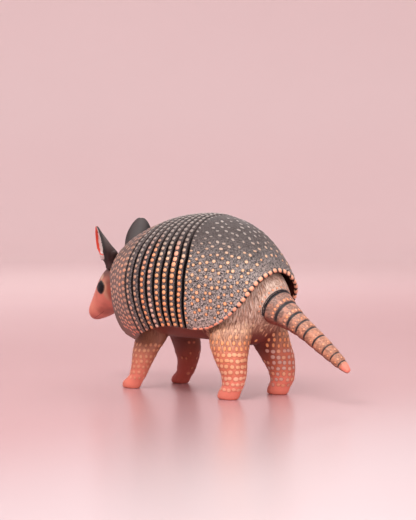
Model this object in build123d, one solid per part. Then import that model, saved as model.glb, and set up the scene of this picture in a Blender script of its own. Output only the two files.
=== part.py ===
"""Carved and painted armadillo figure on four legs, in millimetres.

The figure faces -Y, its left side is +X and it stands on Z = 0. It is designed about a point
on the floor midway between the front and the hind feet, and every piece is moved along Y at the
end, so that the origin of the finished part is the middle of its overall length.
"""

import os
from math import cos, radians, sin

from build123d import *

# Driving dimensions
FLOOR_TO_SAW_CUT = 20.5  # legs below this height are pieces of their own
FOOT_TOP = 4.0
RIGHT_LEG_WIDENING = 1.08  # the right legs were carved a little stouter above the foot
SHELL_WALL = 3.0
SHELL_SKIRT_DROP = 33.0  # lower half-height of the shell's cross-section
SHELL_HOLLOW_DROP = 32.4  # the same for its hollow, so that the wall thins towards its lower edge
RUNNING_GAP = 0.05  # radial clearance of a push-fit dowel
FACE_GAP = 0.15  # between the seat of a plug-in piece and its mate

NECK_FACE_Y = -44.0
NECK_DOWEL_RADIUS = 2.5
NECK_DOWEL_Z = 45.5
NECK_DOWEL_REACH = 12.0  # into each of the two pieces

TAIL_ROOT = Vector(0, 44.7, 39.0)
TAIL_DROOP = 26.0  # degrees below the horizontal at the root
TAIL_ROOT_RADIUS = 7.8
TAIL_DOWEL_RADIUS = 2.0
TAIL_DOWEL_REACH = 13.0

EAR_SEAT = Vector(6.6, -54.0, 52.6)
EAR_AXIS = Vector(0.208, -0.065, 0.976).normalized()
EAR_FACING = Vector(0.89, -0.46, 0)  # the way the ear's opening looks
EAR_NECK_RADIUS = 3.0
EAR_DOWEL_RADIUS = 1.25
EAR_DOWEL_REACH_HEAD = 7.0
EAR_DOWEL_REACH_EAR = 4.0
EAR_WALL = 1.1
EAR_LENGTH = {"left": 0.86, "right": 1.0}  # the left ear was carved shorter

LEG_DOWEL_REACH = 9.0  # up into the body and down into the leg
LEG_DOWELS = {"hind": (13.8, 31.0, 2.0), "front": (12.1, -24.2, 1.5)}  # centre along X and Y, radius
PIN_RADIUS = 1.5
PIN_REACH_TORSO = 7.0
PIN_REACH_SHELL = 1.6

# Shell cross-sections: distance along Y, half-width, height of the ridge, height of the widest line
SHELL_SECTIONS = [
    (-50, 10.8, 61.2, 47.2),
    (-38, 21.2, 67.1, 47.2),
    (-22, 29.1, 73.5, 47.2),
    (-4, 31.7, 77.4, 47.2),
    (14, 26.6, 76.9, 47.2),
    (28, 21.2, 71.8, 47.0),
    (36.5, 17.6, 65.2, 46.4),
    (42, 14.8, 59.2, 44.6),
    (46, 11.6, 53.2, 41.4),
    (50, 7.6, 45.8, 37.0),
]
# Edge of the shell seen from the side, from over the neck, down and back to the tail arch
SHELL_FRONT_Y = -45.4
SHELL_REAR_Y = 45.4
SHELL_EDGE = [
    (SHELL_FRONT_Y, 57.5),
    (-43.2, 52.4),
    (-40.2, 48.2),
    (-38.7, 43.5),
    (-38.4, 38.0),
    (-37.9, 33.0),
    (-36.6, 28.2),
    (-34.2, 24.4),
    (-30.0, 22.3),
    (-17, 24.8),
    (-6, 28.2),
    (6, 30.0),
    (20, 29.0),
    (27.5, 31.4),
    (34, 35.4),
    (39.8, 41.6),
    (42.6, 45.8),
    (44.2, 49.5),
    (SHELL_REAR_Y, 55.0),
]
# Torso cross-sections: centre along Y and Z, droop in degrees, half-width, half-height
TORSO_SECTIONS = [
    (NECK_FACE_Y, 45.5, 0, 9.6, 10.0),
    (-38, 46.0, 0, 15.6, 16.6),
    (-30, 46.6, 0, 20.2, 20.8),
    (-15, 47.4, 0, 26.2, 24.4),
    (0, 48.2, 0, 26.8, 25.2),
    (14, 47.8, 0, 22.4, 25.2),
    (26, 45.4, 0, 18.4, 23.4),
    (35, 41.8, 3, 13.8, 18.4),
    (40.4, 40.2, 12, 11.2, 12.5),
    (43.0, 39.6, 20, 9.2, 9.6),
    (TAIL_ROOT.Y, TAIL_ROOT.Z, TAIL_DROOP, TAIL_ROOT_RADIUS, TAIL_ROOT_RADIUS),
]
# Head cross-sections: distance along Y, centre height, half-width, half-height
HEAD_SECTIONS = [
    (NECK_FACE_Y - FACE_GAP, 45.5, 9.4, 9.6),
    (-48, 45.3, 9.9, 10.0),
    (-52, 44.8, 10.6, 10.6),
    (-56, 43.9, 10.9, 11.0),
    (-61, 41.5, 9.7, 10.4),
    (-66, 37.6, 7.5, 8.5),
    (-70.3, 34.1, 5.7, 6.2),
    (-72.9, 32.2, 4.6, 4.7),
    (-74.6, 31.4, 3.2, 3.3),
    (-75.4, 31.2, 1.3, 1.3),
]
# Tail: distance from the root along the axis, radius
TAIL_SECTIONS = [
    (0, TAIL_ROOT_RADIUS),
    (6, 6.0),
    (12.3, 4.7),
    (22, 3.8),
    (33.5, 3.2),
    (42, 2.35),
    (46, 1.5),
    (47.9, 0.6),
]
TAIL_SAG = 4.0  # how far the tip hangs below the root's axis
# Leg cross-sections: height, centre along X and Y, radius along X and Y
HIND_LEG_SECTIONS = [
    (0, 14.8, 30.5, 3.6, 4.8),
    (1.0, 14.8, 30.5, 4.2, 5.4),
    (3.2, 14.8, 31.4, 4.4, 5.3),
    (6.3, 14.7, 33.6, 4.4, 4.9),
    (11, 14.3, 33.4, 5.3, 5.7),
    (17, 13.8, 31.0, 6.5, 7.6),
    (22, 12.5, 28.9, 7.5, 9.2),
    (28, 10.6, 27.5, 7.6, 10.8),
    (34, 7.4, 26.0, 6.4, 10.4),
]
FRONT_LEG_SECTIONS = [
    (0, 14.7, -31.6, 3.1, 4.2),
    (1.0, 14.7, -31.6, 3.7, 4.9),
    (3.0, 14.7, -30.6, 3.9, 4.9),
    (5.8, 14.5, -27.5, 3.5, 4.1),
    (11, 14.0, -25.5, 4.2, 4.8),
    (17, 12.6, -24.4, 5.0, 6.6),
    (22, 10.2, -23.7, 4.3, 9.2),
    (28, 9.2, -22.3, 5.2, 9.0),
    (34, 8.2, -21.5, 6.0, 8.2),
]
# Ear, up the axis from its seat: height, half-width, back and front along the way it faces
EAR_SECTIONS = {
    "left": [
        (5.0, 4.0, -3.0, 4.20),
        (8.0, 5.3, -3.5, 4.10),
        (11.0, 5.9, -2.0, 4.00),
        (14.5, 5.7, -0.5, 3.88),
        (18.0, 4.7, 0.9, 3.76),
        (21.0, 3.1, 2.0, 3.66),
        (23.2, 1.2, 2.7, 3.58),
    ],
    "right": [
        (5.0, 4.6, -4.6, 3.60),
        (8.0, 5.9, -5.8, 3.42),
        (11.0, 6.5, -4.4, 3.24),
        (14.5, 6.4, -2.8, 3.03),
        (18.0, 5.4, -1.1, 2.81),
        (21.0, 3.8, 0.3, 2.63),
        (23.2, 1.5, 1.2, 2.50),
    ],
}
EAR_NECK_SECTIONS = [
    (0, 0, EAR_NECK_RADIUS, EAR_NECK_RADIUS),
    (2.6, 0, EAR_NECK_RADIUS, EAR_NECK_RADIUS),
    (5.2, -0.1, 4.2, 3.7),
    (7.4, 0.0, 4.6, 3.2),
]

OVERALL_FRONT_Y = HEAD_SECTIONS[-1][0]
OVERALL_BACK_Y = 86.5  # the tail's tip


def upright_plane(y, z=0.0, droop=0.0):
    """A plane across the figure at y and z, its normal backwards and down by droop degrees."""
    tilt = radians(droop)
    return Plane(origin=(0, y, z), x_dir=(-1, 0, 0), z_dir=(0, cos(tilt), -sin(tilt)))


def egg_section(y, half_width, top, bottom, centre):
    """A cross-section of two half-ellipses that meet at the height of centre."""
    upper = EllipticalCenterArc((0, 0), half_width, top - centre, start_angle=0, arc_size=180)
    lower = EllipticalCenterArc((0, 0), half_width, centre - bottom, start_angle=180, arc_size=180)
    return upright_plane(y, centre) * make_face(Curve() + [upper, lower])


def dowel(start, end, radius):
    """A round rod from start to end."""
    way = end - start
    return Plane(origin=start, z_dir=way) * Cylinder(
        radius, way.length, align=(Align.CENTER, Align.CENTER, Align.MIN)
    )


def mirrored(shape):
    """The same piece on the figure's other side."""
    return mirror(shape, about=Plane.YZ)


def make_shell():
    """The armour: a hollow dome, open below and in front, with an arch over the tail."""

    def dome(inset, drop):
        sections = []
        for y, width, ridge, centre in SHELL_SECTIONS:
            sections.append(egg_section(y, width - inset, ridge - inset, centre - drop, centre))
        return loft(sections)

    roof = 90
    outline = Curve() + [
        Spline(SHELL_EDGE),
        Polyline(SHELL_EDGE[-1], (SHELL_REAR_Y, roof), (SHELL_FRONT_Y, roof), SHELL_EDGE[0]),
    ]
    side_view = Plane(origin=(0, 0, 0), x_dir=(0, 1, 0), z_dir=(1, 0, 0))
    kept = extrude(side_view * make_face(outline), 50, both=True)
    return (dome(0, SHELL_SKIRT_DROP) - dome(SHELL_WALL, SHELL_HOLLOW_DROP)) & kept


def make_leg(sections, widen=1.0):
    """A whole leg from its sole to its root inside the torso, on the left side."""
    rings = []
    for z, x, y, rx, ry in sections:
        fat = widen if FOOT_TOP < z < FLOOR_TO_SAW_CUT else 1.0
        rings.append(Pos(x, y, z) * Ellipse(rx * fat, ry * fat))
    return loft(rings, ruled=True)


def make_body():
    """The torso as carved, before its legs are joined on."""
    return loft(
        [
            upright_plane(y, z, droop) * Ellipse(width, height)
            for y, z, droop, width, height in TORSO_SECTIONS
        ]
    )


def make_head():
    """The head and neck, from the neck's flat end to the tip of the snout."""
    return loft(
        [upright_plane(y, z) * Ellipse(width, height) for y, z, width, height in HEAD_SECTIONS]
    )


def tail_point(distance):
    """A point on the tail's centre line, which sags more towards the tip."""
    droop = radians(TAIL_DROOP)
    length = TAIL_SECTIONS[-1][0]
    sag = TAIL_SAG * (distance / length) ** 2
    along = Vector(0, cos(droop), -sin(droop)) * distance
    return TAIL_ROOT + along - Vector(0, sin(droop), cos(droop)) * sag


def make_tail():
    """The tail: a slender cone that sags a little."""
    sections = []
    for distance, radius in TAIL_SECTIONS:
        length = TAIL_SECTIONS[-1][0]
        way = tail_point(distance + 0.1) - tail_point(distance) if distance else tail_axis()
        sections.append(Plane(origin=tail_point(distance), x_dir=(-1, 0, 0), z_dir=way) * Circle(radius))
    return Pos(tail_axis() * FACE_GAP) * loft(sections)


def tail_axis():
    """The direction in which the tail's dowel leaves the rump."""
    droop = radians(TAIL_DROOP)
    return Vector(0, cos(droop), -sin(droop))


def ear_plane(height):
    """A plane across the left ear at a height above its seat: X is its width, Y the way it faces."""
    facing = (EAR_FACING - EAR_AXIS * EAR_FACING.dot(EAR_AXIS)).normalized()
    return Plane(
        origin=EAR_SEAT + EAR_AXIS * height, x_dir=facing.cross(EAR_AXIS), z_dir=EAR_AXIS
    )


def make_ear(ear_sections, length):
    """An ear on the left side: a leaf-shaped cup on a round neck, stretched by length."""

    def leaf(sections, wall):
        shapes = []
        for height, half_width, back, front in sections:
            width, depth = max(half_width - wall, 0.3), max(front - back - wall, 0.2)
            shapes.append(ear_plane(height * length) * Pos(0, front) * Ellipse(width, depth))
        return loft(shapes)

    (low, _, _, low_front), (high, _, _, high_front) = ear_sections[0], ear_sections[-1]
    lean = (high_front - low_front) / (high - low) / length
    start = low_front - lean * low * length
    base = ear_plane(0)
    side = Plane(origin=base.origin, x_dir=base.y_dir, z_dir=base.x_dir)
    opening = Polyline((start, 0), (start + lean * 30, 30), (30, 30), (30, 0), close=True)
    in_front = extrude(side * make_face(opening), 20, both=True)
    neck = loft([ear_plane(h) * Pos(0, v) * Ellipse(a, b) for h, v, a, b in EAR_NECK_SECTIONS])
    return (leaf(ear_sections, 0) - in_front) + neck - leaf(ear_sections[1:], EAR_WALL)


def make_parts():
    """Every piece by name, in the design frame."""
    sides = {
        "left": (1.0, lambda shape: shape),
        "right": (RIGHT_LEG_WIDENING, mirrored),
    }
    whole_legs = {}
    for name, sections in (("hind", HIND_LEG_SECTIONS), ("front", FRONT_LEG_SECTIONS)):
        for side, (widen, place) in sides.items():
            whole_legs[name, side] = place(make_leg(sections, widen))
    torso = make_body()
    for leg in whole_legs.values():
        torso = torso + leg
    below = Pos(0, 0, FLOOR_TO_SAW_CUT) * Box(
        200, 300, 60, align=(Align.CENTER, Align.CENTER, Align.MAX)
    )
    torso = torso - below
    parts = {}

    # Legs and their dowels
    for name in LEG_DOWELS:
        x, y, radius = LEG_DOWELS[name]
        low, high = FLOOR_TO_SAW_CUT - LEG_DOWEL_REACH, FLOOR_TO_SAW_CUT + LEG_DOWEL_REACH
        rod = dowel(Vector(x, y, low), Vector(x, y, high), radius)
        for side, (_, place) in sides.items():
            parts[f"leg_{name}_{side}"] = (whole_legs[name, side] & below) - place(rod)
            parts[f"leg_dowel_{name}_{side}"] = place(rod)
            torso = torso - place(rod)

    # Shell and its two pins
    shell = make_shell()
    for name, y, ridge in (("front", -22, 73.6), ("rear", 14, 76.7)):
        inner = ridge - SHELL_WALL
        pin = dowel(
            Vector(0, y, inner - PIN_REACH_TORSO), Vector(0, y, inner + PIN_REACH_SHELL), PIN_RADIUS
        )
        parts[f"shell_pin_{name}"] = pin
        torso = torso - pin
        shell = shell - pin
    parts["carapace"] = shell

    # Head, ears and their dowels
    neck_end = Vector(0, NECK_FACE_Y, NECK_DOWEL_Z)
    into_head, into_torso = Vector(0, -NECK_DOWEL_REACH, 0), Vector(0, NECK_DOWEL_REACH, 0)
    parts["neck_dowel"] = dowel(neck_end + into_torso, neck_end + into_head, NECK_DOWEL_RADIUS)
    neck_hole = dowel(
        neck_end + into_torso * 1.02, neck_end + into_head * 1.03, NECK_DOWEL_RADIUS + RUNNING_GAP
    )
    torso = torso - neck_hole
    head = make_head() - neck_hole
    rod_end, rod_start = EAR_AXIS * EAR_DOWEL_REACH_EAR, EAR_AXIS * -EAR_DOWEL_REACH_HEAD
    ear_rod = dowel(EAR_SEAT + rod_start, EAR_SEAT + rod_end, EAR_DOWEL_RADIUS)
    ear_hole = dowel(
        EAR_SEAT + rod_start * 1.03, EAR_SEAT + rod_end * 1.05, EAR_DOWEL_RADIUS + RUNNING_GAP
    )
    seat_end = EAR_SEAT + EAR_AXIS * 12
    seat = dowel(EAR_SEAT - EAR_AXIS * FACE_GAP, seat_end, EAR_NECK_RADIUS + FACE_GAP)
    for side, (_, place) in sides.items():
        parts[f"ear_{side}"] = place(make_ear(EAR_SECTIONS[side], EAR_LENGTH[side]) - ear_hole)
        parts[f"ear_dowel_{side}"] = place(ear_rod)
        head = head - place(seat) - place(ear_hole)
    parts["head"] = head

    # Tail and its dowel
    reach = tail_axis() * TAIL_DOWEL_REACH
    parts["tail_dowel"] = dowel(TAIL_ROOT - reach, TAIL_ROOT + reach, TAIL_DOWEL_RADIUS)
    tail_hole = dowel(
        TAIL_ROOT - reach * 1.02, TAIL_ROOT + reach * 1.03, TAIL_DOWEL_RADIUS + RUNNING_GAP
    )
    parts["tail"] = make_tail() - tail_hole
    parts["torso"] = torso - tail_hole
    return parts


def main():
    os.makedirs("parts", exist_ok=True)
    to_middle = Pos(0, -(OVERALL_FRONT_Y + OVERALL_BACK_Y) / 2, 0)
    for name, shape in make_parts().items():
        export_step(to_middle * shape, f"parts/{name}.step")


main()
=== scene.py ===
"""Visible pieces and paint of the carved armadillo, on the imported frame. Blender units are metres."""

import math
import random

import bmesh
import bpy
import numpy as np
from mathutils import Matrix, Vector, noise
from mathutils.bvhtree import BVHTree
from mathutils.kdtree import KDTree


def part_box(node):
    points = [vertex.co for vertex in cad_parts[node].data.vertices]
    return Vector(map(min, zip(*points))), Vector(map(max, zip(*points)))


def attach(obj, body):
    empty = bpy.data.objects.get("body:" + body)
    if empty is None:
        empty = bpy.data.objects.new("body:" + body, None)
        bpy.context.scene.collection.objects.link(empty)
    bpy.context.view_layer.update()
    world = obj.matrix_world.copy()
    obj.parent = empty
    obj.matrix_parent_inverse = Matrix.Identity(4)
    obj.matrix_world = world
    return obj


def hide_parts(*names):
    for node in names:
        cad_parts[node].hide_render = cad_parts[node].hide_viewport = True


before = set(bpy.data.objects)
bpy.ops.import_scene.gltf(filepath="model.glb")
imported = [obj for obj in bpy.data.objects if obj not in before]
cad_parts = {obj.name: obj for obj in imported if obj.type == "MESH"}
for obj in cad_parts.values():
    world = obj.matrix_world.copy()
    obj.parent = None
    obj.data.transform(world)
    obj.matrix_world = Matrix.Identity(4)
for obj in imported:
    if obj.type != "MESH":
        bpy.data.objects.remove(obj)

MM = 0.001
FIGURE = "figure"
SAW_CUT_Z = 20.5 * MM  # the legs are joined to the torso at this height
GROOVES = [-23.5, -17.6, -12.9, -8.6, -4.8, -1.0, 2.35, 5.95, 9.2]  # along Y in mm, at mid height
GROOVE_HALF_WIDTHS = [0.8, 0.8, 0.76, 0.74, 0.7, 0.68, 0.66, 0.65, 0.65]
LOWER_WAIST = -6.5  # low on the sides the grooves draw together towards this Y
UPPER_WAIST = -13.0  # and near the ridge towards this one
TAIL_ROOT = Vector((0, 39.15, 39.0)) * MM
TAIL_DROOP = math.radians(26)
TAIL_SAG = 4.0 * MM
TAIL_LENGTH = 47.9 * MM
TAIL_FACE = 0.2  # where the tail's own wood starts, in mm from the root
TAIL_BORE_DEPTH = 13.3
TAIL_BORE_RADIUS = 2.05 * MM
TAIL_STATIONS = 158  # vertex rings along the outside
TAIL_CLEAR = 20 * MM  # this far from the centre line is outside the tail everywhere
FUR_STROKES = 4000  # tried; fewer land on the fur
TAIL_RINGS = [0.3, 6.2, 12.4, 17.3, 22.2, 27.8, 33.6, 38.4, 42.9]  # mm from the root along the tail
# Leg cross-sections: height, centre along X and Y, radius along X and Y, in mm
HIND_LEG = [
    (3.2, 14.8, 25.85, 4.4, 5.3),
    (6.3, 14.7, 28.05, 4.4, 4.9),
    (11, 14.3, 27.85, 5.3, 5.7),
    (17, 13.8, 25.45, 6.5, 7.6),
    (22, 12.5, 23.35, 7.5, 9.2),
    (28, 10.6, 21.95, 7.6, 10.8),
    (34, 7.4, 20.45, 6.4, 10.4),
]
FRONT_LEG = [
    (3.0, 14.7, -36.15, 3.9, 4.9),
    (5.8, 14.5, -33.05, 3.5, 4.1),
    (11, 14.0, -31.05, 4.2, 4.8),
    (17, 12.6, -29.95, 5.0, 6.6),
    (22, 10.2, -29.25, 4.3, 9.2),
    (28, 9.2, -27.85, 5.2, 9.0),
]

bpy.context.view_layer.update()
scene = bpy.context.scene
scene.view_settings.view_transform = "Standard"


# ---------------------------------------------------------------- colours


def srgb(red, green, blue):
    """Linear colour of an 8-bit display colour."""
    out = []
    for value in (red, green, blue):
        value /= 255
        out.append(value / 12.92 if value <= 0.04045 else ((value + 0.055) / 1.055) ** 2.4)
    return Vector(out)


def blend(a, b, share):
    """Colour between a and b."""
    share = min(max(share, 0.0), 1.0)
    return a * (1 - share) + b * share


def smooth_step(low, high, value):
    t = min(max((value - low) / (high - low), 0.0), 1.0)
    return t * t * (3 - 2 * t)


def graded(a, b, low, high, value):
    """Colour that goes from a to b as the value goes from low to high."""
    return blend(a, b, smooth_step(low, high, value))


ORANGE = srgb(244, 158, 106)
AMBER = srgb(236, 168, 118)
PEACH = srgb(242, 174, 142)
CREAM = srgb(208, 180, 154)
GREY_TAN = srgb(158, 146, 138)
DULL_TAN = srgb(184, 142, 120)
PALE_PINK = srgb(236, 192, 174)
PINK_TAN = srgb(212, 160, 140)
SALMON = srgb(232, 130, 104)
CHARCOAL = srgb(38, 34, 36)
# Beads of each band from the front one back: low on the side, half-way up and near the top
BAND_TINTS = [
    (PINK_TAN, DULL_TAN, GREY_TAN),
    (DULL_TAN, DULL_TAN, GREY_TAN),
    (ORANGE, ORANGE, PINK_TAN),
    (PALE_PINK, PINK_TAN, ORANGE),
    (ORANGE, AMBER, CREAM),
    (ORANGE, AMBER, CREAM),
    (AMBER, AMBER, PEACH),
    (ORANGE, ORANGE, CREAM),
]


# ---------------------------------------------------------------- node materials


class Paint:
    """A Principled material built up node by node."""

    def __init__(self, name):
        self.material = bpy.data.materials.new(name)
        self.material.use_nodes = True
        self.tree = self.material.node_tree
        self.shader = self.tree.nodes["Principled BSDF"]
        self.object_coords = self.node("ShaderNodeTexCoord").outputs["Object"]

    def node(self, kind, inputs=None, **settings):
        """A new node with the given settings, and with the given inputs linked or set."""
        made = self.tree.nodes.new(kind)
        for key, value in settings.items():
            setattr(made, key, value)
        self.put_all(made, inputs or {})
        return made

    def put_all(self, made, inputs):
        for key, value in inputs.items():
            self.put(made.inputs[key], value)

    def put(self, socket, value):
        """Links an output to the socket, or sets a number or an 8-bit display colour on it."""
        if hasattr(value, "is_output"):
            self.tree.links.new(value, socket)
        elif isinstance(value, tuple) and socket.type == "RGBA":
            socket.default_value = (*srgb(*value), 1)
        else:
            socket.default_value = value

    def maths(self, operation, a, b=0.0):
        return self.node("ShaderNodeMath", {0: a, 1: b}, operation=operation).outputs[0]

    def mix(self, share, a, b, kind="MIX", strength=None):
        """Goes from a to b by share, or by strength times share."""
        share = share if strength is None else self.maths("MULTIPLY", share, strength)
        inputs = {0: share, 6: a, 7: b}
        return self.node("ShaderNodeMix", inputs, data_type="RGBA", blend_type=kind).outputs[2]

    def ramp(self, value, stops):
        """Maps value to 0..1 between the given (position, level) stops."""
        made = self.node("ShaderNodeValToRGB", {0: value})
        ramp = made.color_ramp
        while len(ramp.elements) < len(stops):
            ramp.elements.new(0.5)
        for element, (position, level) in zip(ramp.elements, stops):
            element.position = position
            element.color = (level, level, level, 1)
        return made.outputs[0]

    def scaled(self, scale, turn=(0, 0, 0), source=None):
        """Object coordinates turned and scaled, all alike or per axis, in repeats per millimetre."""
        scale = scale if isinstance(scale, tuple) else (scale,) * 3
        inputs = {"Vector": source or self.object_coords, "Scale": [s / MM for s in scale]}
        inputs["Rotation"] = [math.radians(t) for t in turn]
        return self.node("ShaderNodeMapping", inputs).outputs[0]

    def noise(self, vector, detail=2.0, rough=0.5, distortion=0.0):
        inputs = {"Vector": vector, "Scale": 1, "Detail": detail, "Roughness": rough}
        inputs["Distortion"] = distortion
        return self.node("ShaderNodeTexNoise", inputs).outputs["Fac"]

    def along(self, letter):
        """The object coordinate along X, Y or Z."""
        split = self.node("ShaderNodeSeparateXYZ", {0: self.object_coords})
        return split.outputs["XYZ".index(letter)]

    def between(self, value, low, high):
        """0 to 1 as a length goes from low to high millimetres."""
        inputs = {0: value, 1: low * MM, 2: high * MM}
        return self.node("ShaderNodeMapRange", inputs, interpolation_type="SMOOTHSTEP").outputs[0]

    def axis(self, letter, low, high):
        """0 to 1 as an object coordinate goes from low to high millimetres."""
        return self.between(self.along(letter), low, high)

    def attribute(self, name):
        return self.node("ShaderNodeAttribute", attribute_name=name).outputs["Color"]

    def channels(self, colour):
        return self.node("ShaderNodeSeparateColor", {0: colour}).outputs[:3]

    def done(self, colour, roughness=0.5, bump=None, height=0.05, coat=0.0, specular=0.5):
        """Puts the colour and the surface on the material, bumps being height millimetres deep."""
        inputs = {"Base Color": colour, "Roughness": roughness, "Specular IOR Level": specular}
        inputs.update({"Coat Weight": coat, "Coat Roughness": 0.35})
        if bump is not None:
            bumps = {"Distance": height * MM, "Strength": 1.0, "Height": bump}
            inputs["Normal"] = self.node("ShaderNodeBump", bumps).outputs[0]
        self.put_all(self.shader, inputs)
        return self.material


def worn(paint, colour, amount):
    """Slow variation in lightness, which every painted surface shares."""
    slow = paint.noise(paint.scaled(0.09), detail=3)
    level = paint.ramp(slow, [(0.3, 1 - amount * 2), (0.7, 1 + amount)])
    return paint.mix(1.0, colour, level, "MULTIPLY")


def shell_material():
    paint = Paint("shell_paint")
    groove, inside, zone = paint.channels(paint.attribute("zones"))
    front = paint.ramp(zone, [(0.7, 0.0), (0.8, 1.0)])
    banded = paint.ramp(zone, [(0.2, 0.0), (0.3, 1.0), (0.7, 1.0), (0.8, 0.0)])
    squiggle = paint.noise(paint.scaled((2.0, 1.3, 2.0)), detail=1.0, distortion=1.5)
    lines = paint.ramp(squiggle, [(0.485, 0.0), (0.53, 1.0)])
    up = paint.axis("Z", 49, 73)
    faded = paint.maths("MULTIPLY", lines, paint.ramp(up, [(0.0, 1.0), (1.0, 0.45)]))
    patch = paint.noise(paint.scaled(0.12))
    dark = paint.mix(up, (46, 45, 48), (68, 60, 58))
    dark = paint.mix(paint.axis("Z", 46, 30), dark, (62, 57, 57))
    light = paint.mix(patch, (172, 170, 170), (190, 170, 158))
    light = paint.mix(paint.axis("Z", 46, 30), light, (214, 196, 186))
    light = paint.mix(up, light, (112, 102, 99))
    field = paint.mix(faded, dark, light)
    # among the grooves: smooth dark grey with small pale flecks
    flecks = paint.ramp(squiggle, [(0.52, 0.0), (0.6, 0.7)])
    flecks = paint.maths("MULTIPLY", flecks, paint.ramp(up, [(0.0, 1.0), (1.0, 0.35)]))
    band_colour = paint.mix(up, (70, 64, 65), (70, 62, 60))
    band_colour = paint.mix(paint.axis("Z", 42, 28), band_colour, (104, 91, 89))
    band_colour = paint.mix(flecks, band_colour, (168, 150, 144))
    field = paint.mix(banded, field, band_colour)
    # the front shield: a soft grey net that its dull beads sit in
    net = paint.mix(up, (124, 105, 99), (76, 66, 63))
    net = paint.mix(lines, net, (150, 128, 120), strength=0.35)
    field = paint.mix(front, field, net)
    # painted reflection: a warm pink tint low on the sides, for light bounced up from the floor
    low = paint.axis("Z", 34, 23)
    field = paint.mix(low, field, (196, 124, 104), strength=0.2)
    field = worn(paint, field, 0.08)
    field = paint.mix(groove, field, (17, 16, 18))
    # inside the shell: a streaky red-brown, darkened as painted shade in the hollow
    wood = paint.noise(paint.scaled((0.5, 0.08, 0.5)), detail=3)
    under = paint.mix(wood, (62, 22, 16), (98, 40, 29))
    colour = paint.mix(inside, field, under)
    rough = paint.ramp(patch, [(0.3, 0.55), (0.7, 0.7)])
    rough = paint.mix(groove, rough, (250, 250, 250))  # the grooves are matte
    gloss = paint.maths("MULTIPLY", paint.maths("SUBTRACT", 1.0, groove), 0.32)
    return paint.done(colour, rough, lines, 0.04, specular=gloss)


def fur_material(name, height):
    """Painted fur on the rump, red-brown under the shell and coral at the feet."""
    paint = Paint(name)
    slow = paint.noise(paint.scaled(0.16))
    warp = paint.node("ShaderNodeTexNoise", {"Vector": paint.scaled(0.14), "Scale": 1})
    inputs = {0: warp.outputs["Color"], 1: [3 * MM] * 3, 2: paint.object_coords}
    wobbly = paint.node("ShaderNodeVectorMath", inputs, operation="MULTIPLY_ADD").outputs[0]
    streak = paint.noise(paint.scaled((1.7, 1.7, 0.22), (12, 0, 0), wobbly), rough=0.55)
    strokes = paint.ramp(streak, [(0.4, 0.0), (0.58, 1.0)])
    high = paint.axis("Z", 27, 40)
    dark = paint.mix(high, (140, 94, 73), (154, 122, 106))
    light = paint.mix(high, (188, 140, 113), (202, 175, 158))
    fur = paint.mix(strokes, dark, light)
    # under the shell the body is a plain dark red-brown, greyer over the front legs
    plain = paint.mix(slow, (104, 42, 32), (132, 58, 44))
    plain = paint.mix(strokes, plain, (150, 84, 62), strength=0.2)
    over_leg = paint.mix(strokes, (124, 76, 56), (156, 108, 82))
    over_leg = paint.mix(paint.axis("Z", 24, 30), over_leg, plain)
    plain = paint.mix(paint.axis("Y", -16, -24), plain, over_leg)
    fur = paint.mix(paint.axis("Y", 15, 9), fur, plain)
    # legs: coral-brown, browner at the top of the front ones, coral feet
    leg = paint.mix(slow, (197, 102, 75), (217, 126, 97))
    leg = paint.mix(strokes, leg, (150, 70, 48), strength=0.25)
    front_leg = paint.mix(slow, (196, 112, 86), (214, 128, 102))
    front_leg = paint.mix(paint.axis("Z", 11, 21), front_leg, (158, 104, 80))
    front_leg = paint.mix(strokes, front_leg, (160, 82, 62), strength=0.25)
    leg = paint.mix(paint.axis("Y", 0, -5), leg, front_leg)
    leg = paint.mix(paint.axis("Z", 13, 3), leg, (230, 132, 112))
    # painted shade: the right legs are darkened, the front one most, for the shade under the body
    far_leg_shade = paint.axis("X", 0, -4)
    deep = paint.mix(paint.axis("Y", 0, -5), (255, 252, 252), (198, 164, 164))
    leg = paint.mix(far_leg_shade, leg, paint.mix(1.0, leg, deep, "MULTIPLY"))
    colour = paint.mix(paint.axis("Z", 27, 17), fur, leg)
    # between the legs: deep red-brown, darkened as painted shade under the body
    inner = paint.between(paint.maths("ABSOLUTE", paint.along("X")), 10, 5.5)
    belly_shade = paint.maths("MULTIPLY", inner, paint.axis("Z", 33, 25))
    colour = paint.mix(belly_shade, colour, (112, 44, 34))
    colour = worn(paint, colour, 0.07)
    return paint.done(colour, 0.55, streak, height)


def attribute_material(name, roughness, coat, grain_height=0.03, specular=0.4):
    """Colours held by the mesh, with a little brushed unevenness."""
    paint = Paint(name)
    grain = paint.noise(paint.scaled(1.6))
    colour = worn(paint, paint.attribute("paint"), 0.06)
    return paint.done(colour, roughness, grain, grain_height, coat, specular)


def tail_material():
    paint = Paint("tail_paint")
    ring, under, tip = paint.channels(paint.attribute("zones"))
    streak = paint.noise(paint.scaled((2.0, 0.5, 2.0), (-28, 0, 0)), rough=0.6)
    marks = paint.ramp(streak, [(0.4, 0.0), (0.6, 1.0)])
    body = paint.mix(marks, (118, 87, 77), (164, 130, 114))
    further = paint.axis("Y", 46, 62)
    body = paint.mix(further, body, paint.mix(marks, (146, 96, 75), (190, 134, 107)))
    peach = paint.noise(paint.scaled(0.5), detail=1)
    body = paint.mix(paint.ramp(peach, [(0.5, 0.0), (0.62, 0.5)]), body, (216, 146, 115))
    body = paint.mix(tip, body, (242, 138, 118))
    # the underside: red-brown, darker as painted shade
    below = paint.mix(marks, (108, 48, 40), (156, 82, 66))
    body = paint.mix(under, body, below)
    body = worn(paint, body, 0.07)
    colour = paint.mix(ring, body, (34, 33, 37))
    return paint.done(colour, 0.5, streak, 0.07)


def wood_material():
    paint = Paint("bare_wood")
    rings = paint.noise(paint.scaled((0.9, 0.12, 0.12)), detail=4, distortion=0.4)
    colour = paint.mix(rings, (196, 158, 112), (226, 196, 150))
    return paint.done(colour, 0.7, rings, 0.04)


# ---------------------------------------------------------------- meshes


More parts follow.
